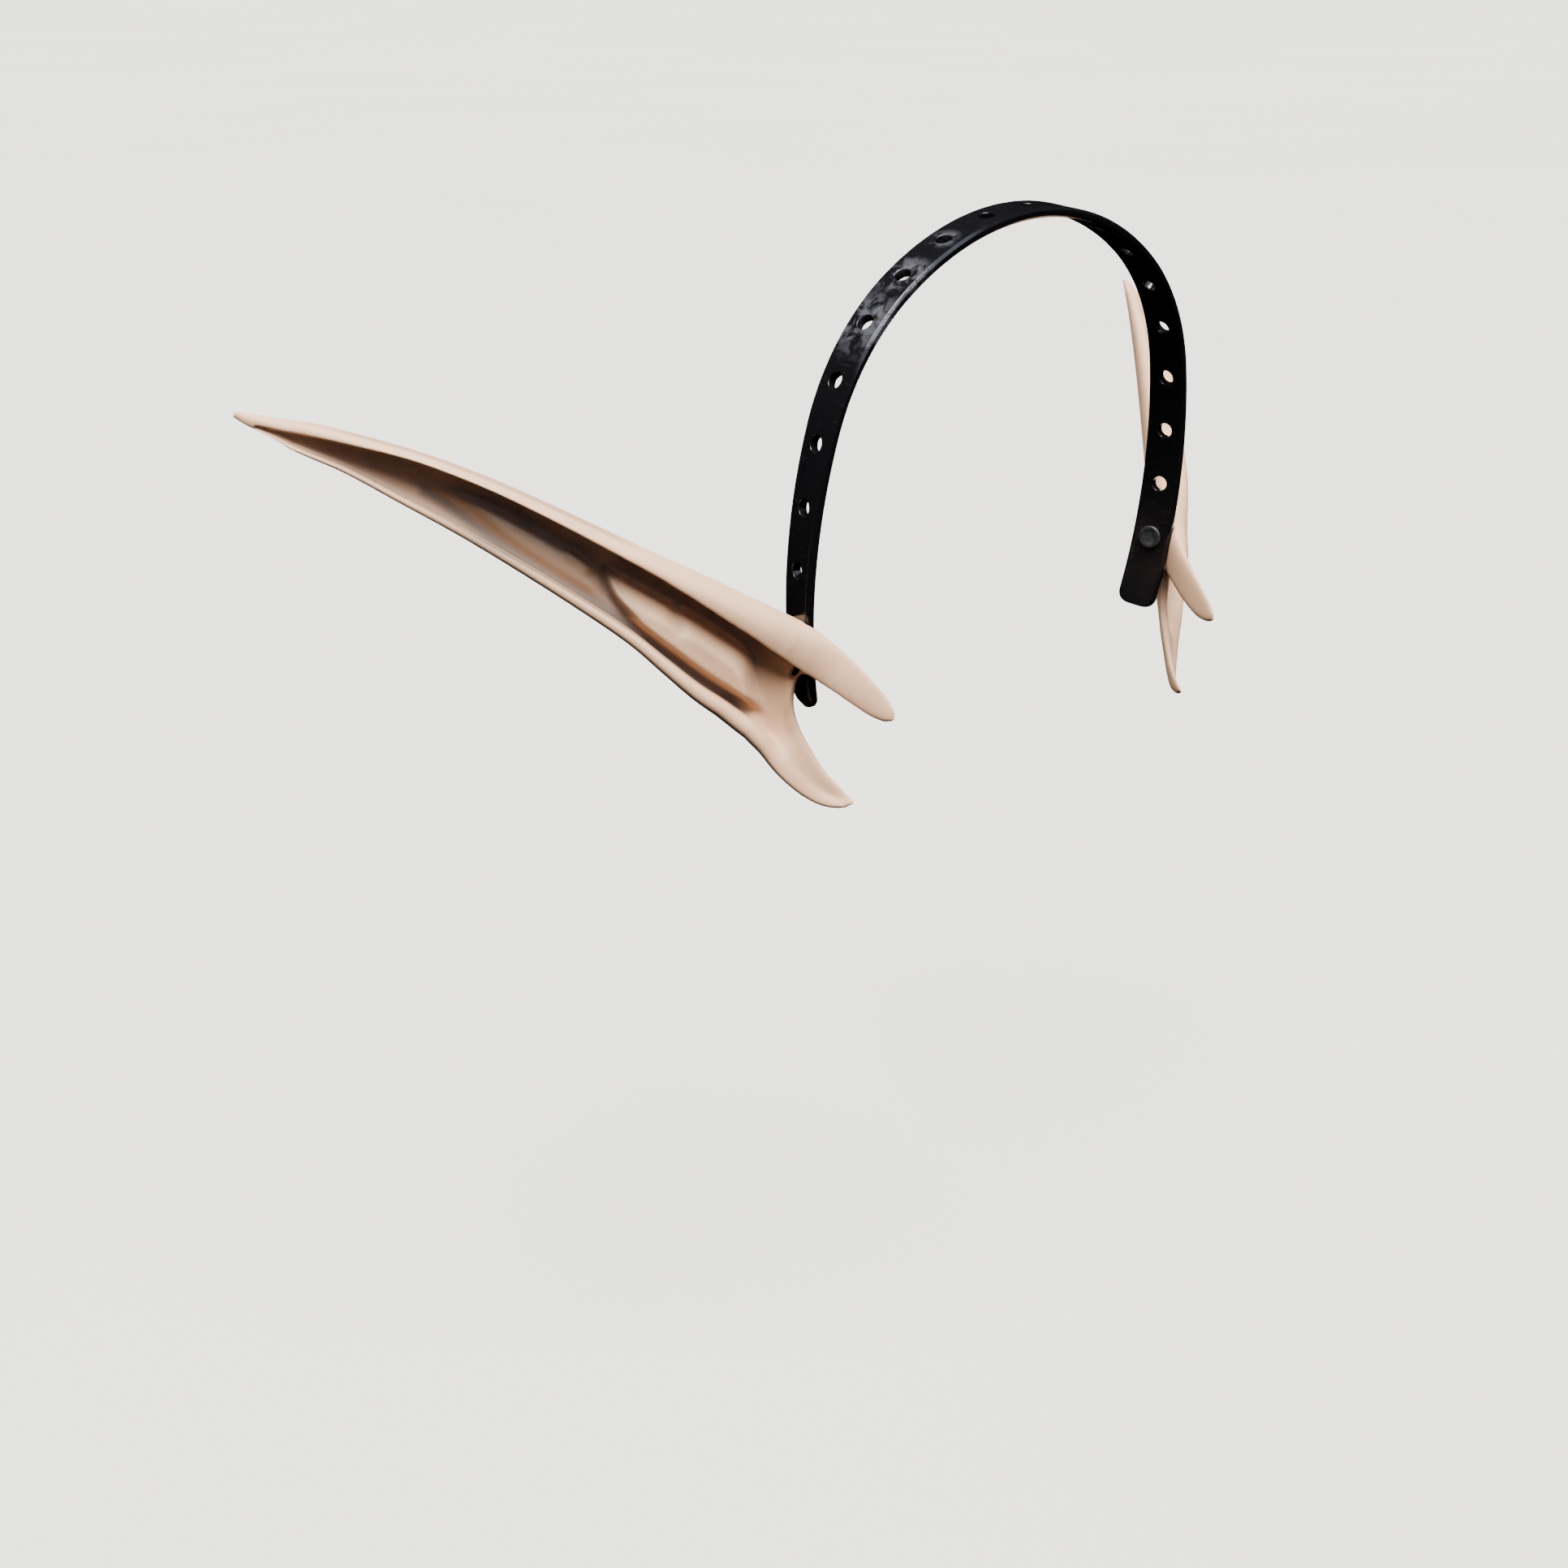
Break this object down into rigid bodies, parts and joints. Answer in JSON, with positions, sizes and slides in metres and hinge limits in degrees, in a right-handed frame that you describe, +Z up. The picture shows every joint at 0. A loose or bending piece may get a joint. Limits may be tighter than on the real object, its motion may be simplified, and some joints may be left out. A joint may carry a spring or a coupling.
{
  "type": "elf ear headband",
  "caption": "Long swept-back pointed ears, folded leaf-shaped troughs with a rolled lower rim, on a slim punched headband that arches over the crown.",
  "frame": {"origin": "underside of the headband at the middle of the crown, where it sits on the head", "axes": "+Z up, the wearer faces -Y, the wearer's right is -X, and the ears spread along X"},
  "size_m": [0.3742, 0.1288, 0.1552],
  "materials": {
    "band_plastic": "black moulded plastic, glossy with fine scuffs",
    "ear_skin": "smooth matte cast rubber, peach beige with faint mottling",
    "post_plastic": "black satin plastic"
  },
  "bodies": {
    "root": {"headband": "band_plastic", "ear_right": "ear_skin", "ear_left": "ear_skin", "ear_post_right": "post_plastic", "ear_post_left": "post_plastic"}
  },
  "joints": []
}
